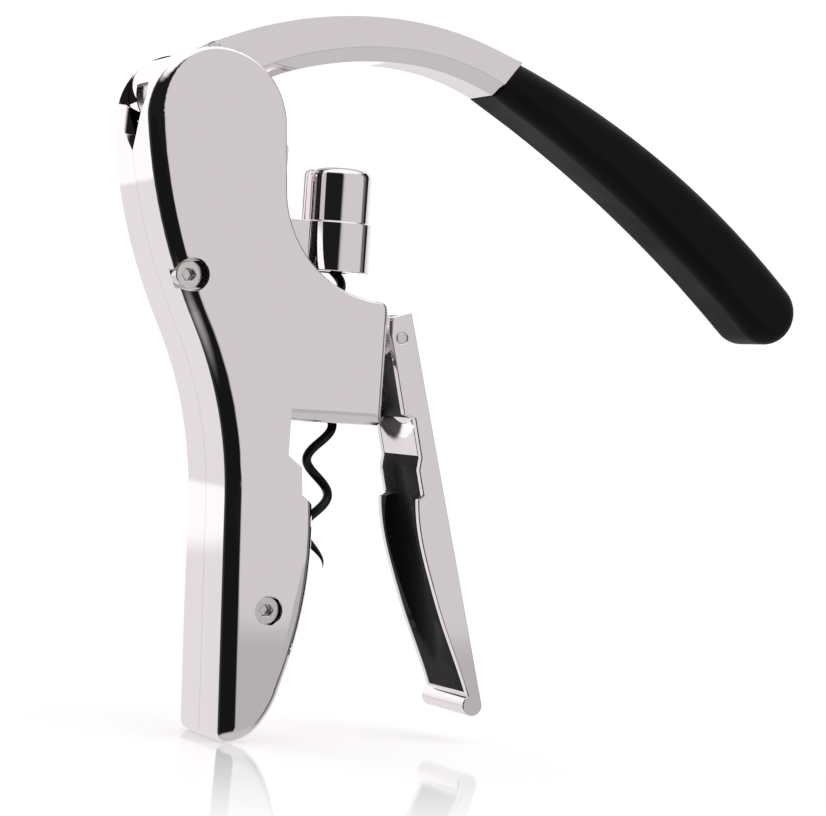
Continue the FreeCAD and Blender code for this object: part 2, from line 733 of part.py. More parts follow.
def lever_arm(sector):
    """Forked, bevelled arm with its tang, cleared for the gear sector."""
    profile_face = arm_profile()
    body = slab(profile_face, -arm, arm)
    body = body.fuse(rod(hub_radius, axle_x, axle_z, -arm, arm)).removeSplitter()
    under = [edge for level in (-arm, arm) for edge in long_edges(body, level)
             if edge.BoundBox.ZMax < axle_z + size["lever_rise"] - size["arm_depth"] + 1.0
             and edge.BoundBox.XMax > -20.0 and edge.Length > 15.0]
    body = body.makeChamfer(size["arm_bevel"], under)
    wide = size["gear_width"] / 2
    fork = rod(fork_radius, axle_x, axle_z, -wide, wide)
    body = body.cut(fork.common(under_cover()))
    step = 360.0 / size["gear_teeth"]
    tooth_way = pitch_radius + addendum + size["running_gap"]
    body = body.cut(slab(wedge(tooth_way, -4 * step, 1.6 * step), -wide, wide))
    body = body.fuse(slab(tang_profile(), -tang_half, tang_half))
    body = body.cut(sector)
    body = body.cut(rod(axle_hole, axle_x, axle_z, -half, half))
    for x, z in rivet_places():
        body = body.cut(rod(size["rivet_diameter"] / 2, x, z, -half, half))
    feature("lever_arm", body.removeSplitter())
    rivets = [rod(size["rivet_diameter"] / 2, x, z, -arm, arm) for x, z in rivet_places()]
    feature("sector_rivets", Part.makeCompound(rivets))


def lever_grip():
    """Soft sleeve over the tang, with a rounded end."""
    crown = crown_point()
    first, start, heading = trail(crown, 0.0, [(94.0, -17.6), (size["grip_bow"], -2.2)])
    walk = [(size["grip_bow"], -23.4), (size["grip_nose"], -179.0), (400.0, 12.6)]
    arcs, spot, end_heading = trail(start, heading, walk)
    belly = crown - vector(-4.0, size["arm_depth"] + size["arm_bevel"] - 0.3)
    under, meet, heading = trail(belly, 0.0, [(66.0, -24.0)])
    edges = arcs + polyline([start, meet, spot])
    wide = size["grip_width"] / 2
    body = slab(Part.Face(Part.Wire(Part.__sortEdges__(edges))), -wide, wide)
    rounded = [edge for level in (-wide, wide) for edge in long_edges(body, level)
               if edge.Curve.TypeId == "Part::GeomCircle"]
    body = body.makeFillet(size["grip_fillet"], rounded)
    body = body.cut(slab(tang_profile(), -tang_half, tang_half))
    feature("lever_grip", body)


lever_arm(gear_sector())
lever_grip()


# ---------------------------------------------------------------- carrier and worm

def rack():
    """Toothed bar that the gear sector drives, teeth towards the lever axle."""
    pitch = math.pi * size["gear_module"]
    slope = math.tan(math.radians(size["pressure_angle"]))
    thick = (pitch - size["backlash"]) / 4
    tip = thick - addendum * slope
    base = thick + dedendum * slope
    wide = size["gear_width"] / 2
    body = brick(rack_root, rack_rear, -wide, wide, rack_foot, rack_top)
    count = int((rack_top - rack_foot) / pitch) + 1
    for index in range(-1, count):
        middle = axle_z - (index + 0.5) * pitch
        if middle + base > rack_top or middle - base < rack_foot:
            continue
        points = [vector(rack_root + 0.2, middle - base), vector(rack_root, middle - base),
                  vector(-size["rack_line"] - addendum, middle - tip),
                  vector(-size["rack_line"] - addendum, middle + tip),
                  vector(rack_root, middle + base), vector(rack_root + 0.2, middle + base)]
        body = body.fuse(slab(Part.Face(Part.makePolygon(points + points[:1])), -wide, wide))
    for z in rack_screw_heights():
        body = body.cut(Part.makeCylinder(size["rack_screw"] / 2, 20.0, vector(-30.0, z),
                                          FreeCAD.Vector(1, 0, 0)))
    feature("rack", body.removeSplitter())


def rack_screw_heights():
    """Heights of the two screws that hold the bracket to the rack."""
    low = size["cup_height"]
    return [low + 6.0, size["flange_top"] - 6.0]


def worm_carrier():
    """Cup for the worm's head, its bracket and the flange on the rack's back."""
    wide = size["bracket_width"] / 2
    low = size["cup_height"]
    face = rack_rear + size["flange_depth"]
    cup = upright(size["cup_diameter"] / 2, low, cup_top)
    flange = brick(rack_rear, face, -wide, wide, low, size["flange_top"])
    corner = [edge for edge in flange.Edges if edge.BoundBox.ZMin > size["flange_top"] - 0.1
              and edge.BoundBox.XMin > face - 0.1]
    flange = flange.makeFillet(size["flange_depth"] * 0.7, corner)
    arm_block = brick(rack_rear, 0.0, -wide, wide, low, cup_top)
    body = cup.fuse(flange).fuse(arm_block)
    body = body.cut(upright(cup_hollow, cup_floor, cup_top + 1.0))
    body = body.cut(upright(worm_way, low - 1.0, cup_top))
    for z in rack_screw_heights():
        body = body.cut(Part.makeCylinder(size["rack_screw"] / 2, 8.0, vector(rack_rear - 4.0, z),
                                          FreeCAD.Vector(1, 0, 0)))
    feature("worm_carrier", body.removeSplitter())
    screws = []
    for z in rack_screw_heights():
        screws.append(Part.makeCylinder(size["rack_screw"] / 2, rack_rear + 4.0 - rack_root,
                                        vector(rack_root, z), FreeCAD.Vector(1, 0, 0)))
    feature("rack_screws", Part.makeCompound(screws))


def helix_path(low, high, radius):
    """Right-handed coil about the worm's axis between two heights."""
    path = Part.makeHelix(size["worm_pitch"], high - low, radius)
    phase = size["worm_phase"] + 360.0 * low / size["worm_pitch"]
    path.rotate(FreeCAD.Vector(), FreeCAD.Vector(0, 0, 1), phase)
    path.translate(FreeCAD.Vector(0, 0, low))
    return Part.Wire(path.Edges)


def coil(low, high, start, end):
    """A round wire along the coil, its radius going from start to end."""
    path = helix_path(low, high, coil_radius)
    shell_maker = Part.BRepOffsetAPI.MakePipeShell(path)
    shell_maker.setFrenetMode(True)
    edge = path.Edges[0]
    foot = edge.valueAt(edge.FirstParameter)
    head = edge.valueAt(edge.LastParameter)
    for spot, radius, place in ((foot, start, edge.FirstParameter), (head, end, edge.LastParameter)):
        circle = Part.makeCircle(radius, spot, edge.tangentAt(place))
        shell_maker.add(Part.Wire([circle]))
        if abs(start - end) < 1e-6:
            break
    shell_maker.build()
    shell_maker.makeSolid()
    return shell_maker.shape()


def worm():
    """Open-coil worm with a tapered point, and its collar in the cup."""
    wire = size["worm_wire"] / 2
    collar_low = cup_floor + size["washer_length"] + 0.05
    taper = size["worm_pitch"] * 0.45
    body = coil(-size["worm_depth"] + taper, collar_low + 2.0, wire, wire)
    point = coil(-size["worm_depth"], -size["worm_depth"] + taper, size["worm_point"], wire)
    body = body.fuse(point)
    collar = upright(size["collar_diameter"] / 2, collar_low, collar_low + size["collar_length"])
    feature("worm", body)
    feature("worm_collar", collar.cut(body))


def thrust_washers():
    """A washer below and above the collar."""
    gap = 0.05
    low = cup_floor
    high = cup_floor + size["washer_length"] + size["collar_length"] + 2 * gap
    pieces = []
    for start in (low, high):
        ring = upright(cup_hollow - 0.2, start, start + size["washer_length"])
        pieces.append(ring.cut(upright(worm_way, start - 1.0, start + 3.0)))
    feature("thrust_washers", Part.makeCompound(pieces))


def turned_piece(name, corners):
    """Labels a turned body."""
    return label(turned(name, corners), name)


cup_floor = size["cup_height"] + size["cup_base"]
cup_hollow = size["cup_diameter"] / 2 - size["cup_wall"]
worm_way = size["worm_diameter"] / 2 + 0.6
coil_radius = (size["worm_diameter"] - size["worm_wire"]) / 2

rack()
worm_carrier()
worm()
thrust_washers()

SPIGOT = "sizes.cup_diameter / 2 - sizes.cup_wall - 0.02"
SPIGOT_LOW = ("sizes.cup_height + sizes.cup_base + 2 * sizes.washer_length"
              " + sizes.collar_length + 0.3")
CUP_TOP = "sizes.cup_height + sizes.cup_length"
CAP_TOP = CUP_TOP + " + sizes.cap_length"


def carrier_cap():
    """Domed-edge cap screwed into the cup."""
    body = turned("carrier_cap", [
        ("sizes.cap_hollow / 2", SPIGOT_LOW),
        (SPIGOT, SPIGOT_LOW),
        (SPIGOT, CUP_TOP),
        ("sizes.cap_diameter / 2", CUP_TOP),
        ("sizes.cap_diameter / 2", CAP_TOP),
        ("0", CAP_TOP),
        ("0", CAP_TOP + " - sizes.cap_wall"),
        ("sizes.cap_hollow / 2", CAP_TOP + " - sizes.cap_wall")])
    doc.recompute()
    turn = doc.getObject("carrier_cap_turn")
    rims = []
    for number, edge in enumerate(turn.Shape.Edges, start=1):
        span = edge.BoundBox
        if span.ZMin > cap_top - 0.01 and span.XMax > size["cap_diameter"] / 2 - 0.01:
            rims.append("Edge%d" % number)
    rounding = body.newObject("PartDesign::Fillet", "carrier_cap_round")
    rounding.Base = (turn, rims)
    rounding.setExpression("Radius", "sizes.cap_fillet")
    label(body, "carrier_cap")


carrier_cap()


# ---------------------------------------------------------------- nut in the block

BASE = "sizes.housing_base"
NUT_LOW = BASE + " + sizes.nut_rise"
NUT_TOP = NUT_LOW + " + sizes.nut_length"
HOUSE_TOP = BASE + " + sizes.housing_length"

turned_piece("nut_housing", [
    ("sizes.housing_diameter / 2 - sizes.housing_wall", BASE),
    ("sizes.housing_diameter / 2", BASE),
    ("sizes.housing_diameter / 2", HOUSE_TOP),
    ("sizes.worm_diameter / 2 + 0.8", HOUSE_TOP),
    ("sizes.worm_diameter / 2 + 0.8", NUT_TOP),
    ("sizes.nut_diameter / 2", NUT_TOP),
    ("sizes.nut_diameter / 2", NUT_LOW + " - sizes.ring_length"),
    ("sizes.housing_diameter / 2 - sizes.housing_wall", NUT_LOW + " - sizes.ring_length * 2")])
turned_piece("nut_ring", [
    ("sizes.worm_diameter / 2 + 0.8", NUT_LOW + " - sizes.ring_length"),
    ("sizes.nut_diameter / 2", NUT_LOW + " - sizes.ring_length"),
    ("sizes.nut_diameter / 2", NUT_LOW),
    ("sizes.worm_diameter / 2 + 0.8", NUT_LOW)])
turned_piece("mouth_ring", [
    ("sizes.mouth_bore / 2 - sizes.seat_ring", "0.1"),
    ("sizes.mouth_bore / 2", "0.1"),
    ("sizes.mouth_bore / 2", BASE),
    ("sizes.mouth_bore / 2 - sizes.seat_ring", BASE)])


def worm_nut():
    """Nut with the helical way that turns the worm as it is driven through."""
    low = size["housing_base"] + size["nut_rise"]
    high = low + size["nut_length"]
    body = upright(size["nut_diameter"] / 2, low, high)
    way = size["worm_wire"] / 2 + size["worm_play"]
    feature("worm_nut", body.cut(coil(low - 6.0, high + 6.0, way, way)))


worm_nut()


# ---------------------------------------------------------------- clamp lever

pin_x = size["pin_offset"]
pin_z = size["pin_height"]
cheek = size["clamp_width"] / 2
cheek_inner = cheek - size["clamp_wall"]
lug_radius = size["pin_diameter"] / 2 + size["lug_wall"]


def clamp_point(x, z):
    """A point of the clamp lever from its pin."""
    return vector(pin_x + x, pin_z + z)


def clamp_front():
    """Points of the cheeks' front edge from the jaw down to the foot."""
    long = size["clamp_length"]
    return [
        clamp_point(5.4, -20.9),
        clamp_point(8.0, -31.2),
        clamp_point(7.6, -34.6),
        clamp_point(9.3, -41.2),
        clamp_point(7.9, -42.4),
        clamp_point(9.7, -long * 0.544),
        clamp_point(13.2, -long * 0.650),
        clamp_point(17.4, -long * 0.760),
        clamp_point(22.2, -long * 0.867),
        clamp_point(size["clamp_reach"] - 3.6, -long * 0.965),
    ]


def clamp_back(inset):
    """Ends of the clamp lever's straight outer edge, moved inwards by inset."""
    long = size["clamp_length"]
    reach = size["clamp_reach"]
    return clamp_point(2.3 - inset, 6.9), clamp_point(reach + 0.4 - inset, -long * 0.98)


def clamp_profile():
    """Side view of the clamp lever."""
    front = clamp_front()
    top, foot = clamp_back(0.0)
    neck = [clamp_point(-3.1, 5.2), clamp_point(-3.1, 0.6), clamp_point(2.2, -20.2), front[0]]
    edges = polyline([top, neck[0], neck[1], neck[2], front[0]])
    edges += polyline(front[:5])
    edges += [curve(front[4:])]
    low = clamp_point(size["clamp_reach"] - 1.0, -size["clamp_length"] - 1.6)
    edges += [Part.Arc(front[-1], low, foot).toShape()]
    edges += polyline([foot, top])
    return Part.Face(Part.Wire(Part.__sortEdges__(edges)))


def clamp_inside():
    """Side view of the room between the cheeks, open to the front."""
    top, foot = clamp_back(size["clamp_wall"])
    along = (top - foot).normalize()
    points = [top + along * 12.0, foot + along * size["foot_wall"],
              clamp_front()[-1] + FreeCAD.Vector(-0.6, 0, size["foot_wall"] * 0.5),
              clamp_point(-30.0, -size["clamp_length"]), clamp_point(-30.0, 20.0)]
    return Part.Face(Part.makePolygon(points + points[:1]))


def clamp_lever():
    """Channel-shaped lever with two cheeks and a back."""
    body = slab(clamp_profile(), -cheek, cheek)
    body = body.cut(slab(clamp_inside(), -cheek_inner, cheek_inner))
    body = body.cut(rod(lug_radius + size["running_gap"], pin_x, pin_z,
                        -cheek_inner, cheek_inner))
    body = body.cut(rod(size["pin_diameter"] / 2 + size["axle_fit"], pin_x, pin_z, -half, half))
    feature("clamp_lever", body.removeSplitter())


def clamp_filling(low, high):
    """Room between cheeks, front edge and back, between two heights from the pin."""
    room = slab(clamp_profile(), -cheek_inner, cheek_inner)
    room = room.common(slab(clamp_inside(), -cheek_inner, cheek_inner))
    return room.common(brick(pin_x - 20, pin_x + 60, -20, 20, pin_z + low, pin_z + high))


def clamp_jaw():
    """Bright cross-piece that meets the bottle's lip."""
    body = clamp_filling(-30.9, -21.0)
    hollow = Part.makeCylinder(32.0, 30.0, clamp_point(-25.8, -40.0), FreeCAD.Vector(0.1, 0, 1))
    feature("clamp_jaw", body.cut(hollow))


def clamp_liner():
    """Moulded liner on the inner side of the clamp lever's back, above the jaw."""
    room = clamp_filling(-20.9, -5.2)
    back = clamp_inside()
    back.translate(FreeCAD.Vector(-size["liner_depth"], 0, 0))
    feature("clamp_liner", room.cut(slab(back, -half, half)))


def clamp_pad():
    """Soft pad with the groove that takes the bottle's neck."""
    body = clamp_filling(-size["clamp_length"], -31.0)
    groove = upright(size["neck_diameter"] / 2 - size["pad_depth"], -150.0, 50.0)
    groove.rotate(vector(pin_x, pin_z), FreeCAD.Vector(0, 1, 0), -size["clamp_swing"])
    feature("clamp_pad", body.cut(groove))


def clamp_lug():
    """Hinge lug on the block's front, and its pin."""
    wide = size["lug_width"] / 2
    front = size["block_front"]
    flange = brick(front, front + size["lug_wall"], -wide, wide, pin_z - 9.0, pin_z + 4.6)
    eye = rod(lug_radius, pin_x, pin_z, -wide, wide)
    web = slab(Part.Face(Part.makePolygon([
        vector(front, pin_z + 2.4), vector(pin_x, pin_z + 2.4), vector(pin_x + 2.3, pin_z - 1.0),
        vector(front, pin_z - 8.0), vector(front, pin_z + 2.4)])), -wide, wide)
    body = flange.fuse(eye).fuse(web).removeSplitter()
    feature("clamp_lug", body.cut(rod(size["pin_diameter"] / 2, pin_x, pin_z, -half, half)))


def clamp_spring():
    """Torsion spring's two coils beside the lug, their long legs on the block's front."""
    wire = size["spring_wire"] / 2
    ring = size["pin_diameter"] / 2 + 0.2 + wire
    pieces = []
    for side in (-1, 1):
        start = side * (size["lug_width"] / 2 + 0.15 + wire)
        loops = [Part.makeTorus(ring, wire, vector(pin_x, pin_z, start + side * index * wire * 1.8),
                                FreeCAD.Vector(0, 1, 0)) for index in range(3)]
        lean = (pin_x - ring - wire - size["block_front"] - 0.1) / 12.0
        leg = Part.makeCylinder(wire, 12.0, vector(pin_x - ring, pin_z, start),
                                FreeCAD.Vector(-lean, 0, -1))
        pieces.append(loops[0].fuse(loops[1:] + [leg]))
    feature("clamp_spring", Part.makeCompound(pieces))


clamp_lever()
clamp_jaw()
clamp_liner()
clamp_pad()
clamp_lug()
clamp_spring()
label(cylinder("hinge_pin", "sizes.pin_diameter / 2", "sizes.clamp_width",
               "sizes.pin_offset", "-sizes.clamp_width / 2", "sizes.pin_height"), "clamp_pin")


# ---------------------------------------------------------------- guide rails

def guide_rails():
    """A low-friction rail each side of the rack, on the shells' lips."""
    pieces = []
    for side in (-1, 1):
        low, high = sorted((side * (size["bracket_width"] / 2 + 0.3), side * slot))
        pieces.append(brick(rack_rear - 6.6, rack_rear - 2.9, low, high,
                            size["cup_height"] + 3.0, size["flange_top"]))
    feature("guide_rails", Part.makeCompound(pieces))


guide_rails()


# ---------------------------------------------------------------- checks and export

def check_document():
    """Stops the build where a piece failed or is not a sound solid."""
    doc.recompute()
    for item in doc.Objects:
        if "Invalid" in item.State or "Error" in item.State:
            raise RuntimeError("failed object: " + item.Name)
    for item in NODES:
        if item.Shape.isNull() or not item.Shape.isValid() or not item.Shape.Solids:
            raise RuntimeError("bad shape: " + item.Label)


check_document()
os.makedirs("parts", exist_ok=True)
for node in NODES:
    node.Shape.exportStep(os.path.join("parts", node.Label + ".step"))
    print(node.Label, len(node.Shape.Solids), round(node.Shape.Volume, 1))
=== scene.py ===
"""Looks of the lever corkscrew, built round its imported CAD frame, in metres.

Laid out as an add-on: settings, one operator for each group of pieces, one for the stage, and a
panel. Run as a script it makes everything in order.
"""

import json
import math

import bmesh
import bpy
from mathutils import Matrix, Vector


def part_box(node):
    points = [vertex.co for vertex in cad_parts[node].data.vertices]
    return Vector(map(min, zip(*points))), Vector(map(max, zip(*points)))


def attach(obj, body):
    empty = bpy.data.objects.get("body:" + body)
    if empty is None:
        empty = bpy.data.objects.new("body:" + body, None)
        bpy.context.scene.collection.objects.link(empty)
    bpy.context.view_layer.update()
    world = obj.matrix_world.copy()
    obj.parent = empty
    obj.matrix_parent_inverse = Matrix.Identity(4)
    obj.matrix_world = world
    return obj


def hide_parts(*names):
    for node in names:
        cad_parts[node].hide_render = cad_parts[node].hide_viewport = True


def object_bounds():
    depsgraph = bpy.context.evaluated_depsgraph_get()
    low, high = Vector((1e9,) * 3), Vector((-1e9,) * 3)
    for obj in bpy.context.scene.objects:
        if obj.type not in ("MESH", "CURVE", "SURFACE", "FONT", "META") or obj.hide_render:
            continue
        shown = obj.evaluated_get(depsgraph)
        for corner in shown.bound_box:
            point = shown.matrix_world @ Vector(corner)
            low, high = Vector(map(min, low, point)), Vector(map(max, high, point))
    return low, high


bl_info = {
    "name": "Lever Corkscrew",
    "version": (1, 0, 0),
    "blender": (4, 5, 0),
    "location": "3D View > Sidebar > Corkscrew",
    "description": "Finishes the pieces of a lever corkscrew and its studio stage",
    "category": "Object",
}

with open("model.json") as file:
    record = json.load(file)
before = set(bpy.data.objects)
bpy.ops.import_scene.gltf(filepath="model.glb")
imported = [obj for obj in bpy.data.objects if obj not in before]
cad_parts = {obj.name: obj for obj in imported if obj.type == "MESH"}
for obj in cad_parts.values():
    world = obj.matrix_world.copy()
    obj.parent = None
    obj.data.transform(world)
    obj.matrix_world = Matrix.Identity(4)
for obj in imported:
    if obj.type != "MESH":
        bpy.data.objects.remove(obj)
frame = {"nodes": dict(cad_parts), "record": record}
CAD_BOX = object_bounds()

MM = 0.001
Z_AXIS = Vector((0, 0, 1))
ORIGIN = Vector((0, 0, 0))
WELD = 0.001 * MM


# ---------------------------------------------------------------- settings

class CorkscrewSizes(bpy.types.PropertyGroup):
    """Sizes that shape the finished pieces."""

    edge_round: bpy.props.FloatProperty(
        name="Edge round", description="Small round on every cast edge",
        default=0.22 * MM, min=0.0, subtype="DISTANCE", unit="LENGTH")
    worm_wire: bpy.props.FloatProperty(
        name="Worm wire", description="Diameter of the worm's wire",
        default=2.45 * MM, subtype="DISTANCE", unit="LENGTH")
    worm_diameter: bpy.props.FloatProperty(
        name="Worm diameter", description="Over the coil",
        default=8.6 * MM, subtype="DISTANCE", unit="LENGTH")
    worm_pitch: bpy.props.FloatProperty(
        name="Worm pitch", description="Rise of one turn of the worm",
        default=18.5 * MM, subtype="DISTANCE", unit="LENGTH")
    worm_phase: bpy.props.FloatProperty(
        name="Worm phase", description="Turn of the worm at the bottle seat",
        default=math.radians(-7.5), subtype="ANGLE", unit="ROTATION")


class CorkscrewColours(bpy.types.PropertyGroup):
    """Colours of the finishes."""

    chrome: bpy.props.FloatVectorProperty(
        name="Chrome", description="Tint of the polished chrome",
        default=(0.93, 0.90, 0.905), size=3, subtype="COLOR", min=0.0, max=1.0)
    steel: bpy.props.FloatVectorProperty(
        name="Steel", description="Tint of the bright steel",
        default=(0.80, 0.775, 0.77), size=3, subtype="COLOR", min=0.0, max=1.0)
    rubber: bpy.props.FloatVectorProperty(
        name="Soft black", description="Grip and pads",
        default=(0.0032, 0.0027, 0.0029), size=3, subtype="COLOR", min=0.0, max=1.0)
    coating: bpy.props.FloatVectorProperty(
        name="Worm coating", description="Non-stick coating of the worm",
        default=(0.012, 0.011, 0.012), size=3, subtype="COLOR", min=0.0, max=1.0)
    nylon: bpy.props.FloatVectorProperty(
        name="Nylon", description="Nut, rings and rails",
        default=(0.02, 0.02, 0.022), size=3, subtype="COLOR", min=0.0, max=1.0)
    brass: bpy.props.FloatVectorProperty(
        name="Brass", description="Threaded inserts",
        default=(0.70, 0.48, 0.18), size=3, subtype="COLOR", min=0.0, max=1.0)
    floor: bpy.props.FloatVectorProperty(
        name="Floor", description="Pale floor of the stage",
        default=(0.62, 0.62, 0.62), size=3, subtype="COLOR", min=0.0, max=1.0)


# ---------------------------------------------------------------- finishes

MARKS_SCALE = 60.0
MARKS_DETAIL = 5.0
MARKS_FAINTEST = 0.45
MARKS_STRONGEST = 0.75
GRAIN_SCALE = 2600.0
GRAIN_DETAIL = 2.0
GRAIN_DEPTH = 0.05 * MM


def handling_marks():
    """Faint handling marks: a mask and a fine bump height over Object coordinates."""
    found = bpy.data.node_groups.get("handling_marks")
    if found:
        return found
    tree = bpy.data.node_groups.new("handling_marks", "ShaderNodeTree")
    scale = tree.interface.new_socket("Scale", in_out="INPUT", socket_type="NodeSocketFloat")
    scale.default_value = MARKS_SCALE
    tree.interface.new_socket("Mask", in_out="OUTPUT", socket_type="NodeSocketFloat")
    tree.interface.new_socket("Height", in_out="OUTPUT", socket_type="NodeSocketFloat")
    inward = tree.nodes.new("NodeGroupInput")
    outward = tree.nodes.new("NodeGroupOutput")
    spot = tree.nodes.new("ShaderNodeTexCoord")
    cloud = tree.nodes.new("ShaderNodeTexNoise")
    cloud.inputs["Detail"].default_value = MARKS_DETAIL
    grain = tree.nodes.new("ShaderNodeTexNoise")
    grain.inputs["Scale"].default_value = GRAIN_SCALE
    grain.inputs["Detail"].default_value = GRAIN_DETAIL
    spread = tree.nodes.new("ShaderNodeMapRange")
    spread.inputs["From Min"].default_value = MARKS_FAINTEST
    spread.inputs["From Max"].default_value = MARKS_STRONGEST
    tree.links.new(spot.outputs["Object"], cloud.inputs["Vector"])
    tree.links.new(spot.outputs["Object"], grain.inputs["Vector"])
    tree.links.new(inward.outputs["Scale"], cloud.inputs["Scale"])
    tree.links.new(cloud.outputs["Fac"], spread.inputs["Value"])
    tree.links.new(spread.outputs["Result"], outward.inputs["Mask"])
    tree.links.new(grain.outputs["Fac"], outward.inputs["Height"])
    return tree


def finish(name, colour, metallic, clean, worn, grain, ior=1.5):
    """A procedural finish: its roughness runs from clean to worn under the marks."""
    found = bpy.data.materials.get(name)
    if found:
        return found
    material = bpy.data.materials.new(name)
    material.use_nodes = True
    tree = material.node_tree
    shader = tree.nodes["Principled BSDF"]
    shader.inputs["Base Color"].default_value = (*colour, 1.0)
    shader.inputs["Metallic"].default_value = metallic
    shader.inputs["IOR"].default_value = ior
    marks = tree.nodes.new("ShaderNodeGroup")
    marks.node_tree = handling_marks()
    marks.inputs["Scale"].default_value = MARKS_SCALE
    rough = tree.nodes.new("ShaderNodeMapRange")
    rough.inputs["To Min"].default_value = clean
    rough.inputs["To Max"].default_value = worn
    tree.links.new(marks.outputs["Mask"], rough.inputs["Value"])
    tree.links.new(rough.outputs["Result"], shader.inputs["Roughness"])
    if grain > 0:
        relief = tree.nodes.new("ShaderNodeBump")
        relief.inputs["Strength"].default_value = grain
        relief.inputs["Distance"].default_value = GRAIN_DEPTH
        tree.links.new(marks.outputs["Height"], relief.inputs["Height"])
        tree.links.new(relief.outputs["Normal"], shader.inputs["Normal"])
    return material


def colours():
    """The colour settings of the scene."""
    return bpy.context.scene.corkscrew_colours


def sizes():
    """The size settings of the scene."""
    return bpy.context.scene.corkscrew_sizes


def polished_chrome():
    """Mirror chrome on a die casting."""
    return finish("polished_chrome", colours().chrome, metallic=1.0, clean=0.025,
                  worn=0.05, grain=0.0)


def bright_steel():
    """Turned or pressed steel."""
    return finish("bright_steel", colours().steel, metallic=1.0, clean=0.16,
                  worn=0.26, grain=0.08)


def soft_black():
    """Satin soft-touch elastomer of the grip and pads."""
    return finish("satin_elastomer", colours().rubber, metallic=0.0, clean=0.5,
                  worn=0.62, grain=0.2, ior=1.25)


def worm_coating():
    """Dark non-stick coating of the worm."""
    return finish("worm_coating", colours().coating, metallic=0.0, clean=0.34,
                  worn=0.46, grain=0.1, ior=1.35)


def moulded_nylon():
    """Plain dark nylon of the nut, rings and rails, and of the liner, a dark sheet of painted
    shade inside the clamp's web.
    """
    return finish("moulded_nylon", colours().nylon, metallic=0.0, clean=0.42,
                  worn=0.52, grain=0.1, ior=1.35)


def turned_brass():
    """Brass of the threaded inserts."""
    return finish("turned_brass", colours().brass, metallic=1.0, clean=0.25,
                  worn=0.38, grain=0.1)


FINISHES = {
    "chrome": polished_chrome,
    "steel": bright_steel,
    "brass": turned_brass,
    "soft_black": soft_black,
    "nylon": moulded_nylon,
    "black_coat": worm_coating,
}
SLOT_OF = {part["node"]: part["material_slot"] for part in frame["record"]["subparts"]}
BODY_OF = {node: body for body, nodes in frame["record"]["behaviour"]["bodies"].items()
           for node in nodes}


# ---------------------------------------------------------------- helpers

FLAT = math.radians(0.3)        # faces that lean less than this are one flat face
CREASE = math.radians(30)       # edges that turn more than this stay sharp
COIL_CREASE = math.radians(50)  # the same on the worm
SHARP = math.radians(38)        # edges that turn more than this get a small round
ROUND_STEPS = 2
FLAT_FACE_WEIGHT = 80
PARTING_LEVEL = 0.01 * MM       # how far the parting edge may lie from the middle plane
PARTING_LEAN = 0.1              # X of the normal on the parting face, at most
BACK_LEAN = 0.7                 # X of the normal on the back, at least


def dress(node):
    """Gives a CAD node its own finish."""
    mesh = frame["nodes"][node].data
    mesh.materials.clear()
    mesh.materials.append(FINISHES[SLOT_OF[node]]())


def place(name, mesh, node):
    """Links a finished piece, rides it on its body and lets it stand for its CAD node."""
    piece = bpy.data.objects.new(name, mesh)
    bpy.context.scene.collection.objects.link(piece)
    mesh.materials.clear()
    mesh.materials.append(FINISHES[SLOT_OF[node]]())
    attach(piece, BODY_OF[node])
    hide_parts(node)
    return piece


def mesh_from(bm, name, crease=CREASE):
    """A smooth-shaded mesh whose edges stay sharp past the crease angle."""
    for face in bm.faces:
        face.smooth = True
    for edge in bm.edges:
        edge.smooth = edge.calc_face_angle(0.0) < crease
    mesh = bpy.data.meshes.new(name)
    bm.to_mesh(mesh)
    bm.free()
    for layer in ("custom_normal", "sharp_face"):
        if layer in mesh.attributes:
            mesh.attributes.remove(mesh.attributes[layer])
    return mesh


def ease_parting(bm, width):
    """Eases the edge along the back where the two shells meet."""
    bm.normal_update()
    seam = []
    for edge in bm.edges:
        level = max(abs(spot.co.y) for spot in edge.verts)
        leans = sorted((face.normal.x for face in edge.link_faces), key=abs)
        if level > PARTING_LEVEL or len(leans) != 2:
            continue
        if abs(leans[0]) < PARTING_LEAN and leans[1] < -BACK_LEAN:
            seam.append(edge)
    bmesh.ops.bevel(bm, geom=seam, offset=width, offset_type="OFFSET", segments=ROUND_STEPS,
                    profile=0.5, affect="EDGES", material=-1, clamp_overlap=True)


def fine_copy(node, name, edge_round=0.0, parting=0.0):
    """A node's own shape, welded, with its edges or its parting line slightly rounded."""
    bm = bmesh.new()
    bm.from_mesh(frame["nodes"][node].data)
    bmesh.ops.remove_doubles(bm, verts=bm.verts[:], dist=WELD)
    bmesh.ops.dissolve_limit(bm, angle_limit=FLAT, use_dissolve_boundaries=False,
                             verts=bm.verts[:], edges=bm.edges[:])
    if parting > 0:
        ease_parting(bm, parting)
    piece = place(name, mesh_from(bm, name), node)
    if edge_round > 0:
        bevel = piece.modifiers.new("edge_round", "BEVEL")
        bevel.width = edge_round
        bevel.segments = ROUND_STEPS
        bevel.limit_method = "ANGLE"
        bevel.angle_limit = SHARP
        bevel.use_clamp_overlap = False
        bevel.miter_outer = "MITER_SHARP"
    weigh = piece.modifiers.new("even_shading", "WEIGHTED_NORMAL")
    weigh.keep_sharp = True
    weigh.weight = FLAT_FACE_WEIGHT
    return piece


# ---------------------------------------------------------------- pieces

PAD_ROUND = 1.5   # the neck pad's edge round, in cast edge rounds
GRIP_ROUND = 2.0  # the grip's


